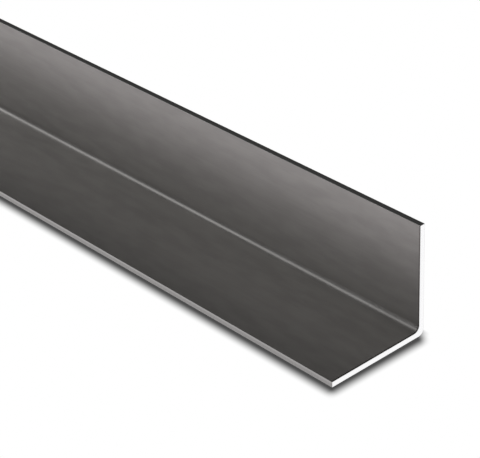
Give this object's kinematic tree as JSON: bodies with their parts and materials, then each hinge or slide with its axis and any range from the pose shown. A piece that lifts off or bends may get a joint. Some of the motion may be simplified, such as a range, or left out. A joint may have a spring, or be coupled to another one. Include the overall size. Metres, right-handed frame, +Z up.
{
  "type": "metal angle section",
  "caption": "Equal-leg metal angle stock: one straight thin-walled length with a rounded bend, plain long edges and square-cut ends.",
  "frame": {"origin": "under the middle of the part's box, on the surface that the base leg lies on", "axes": "+X along the length, +Y out of the standing leg's outer face, +Z up"},
  "size_m": [1, 0.04, 0.04],
  "materials": {
    "mill_steel": "bare cold-formed steel with its mill finish, and bright cut ends"
  },
  "bodies": {
    "root": {"angle_section": "mill_steel"}
  },
  "joints": []
}
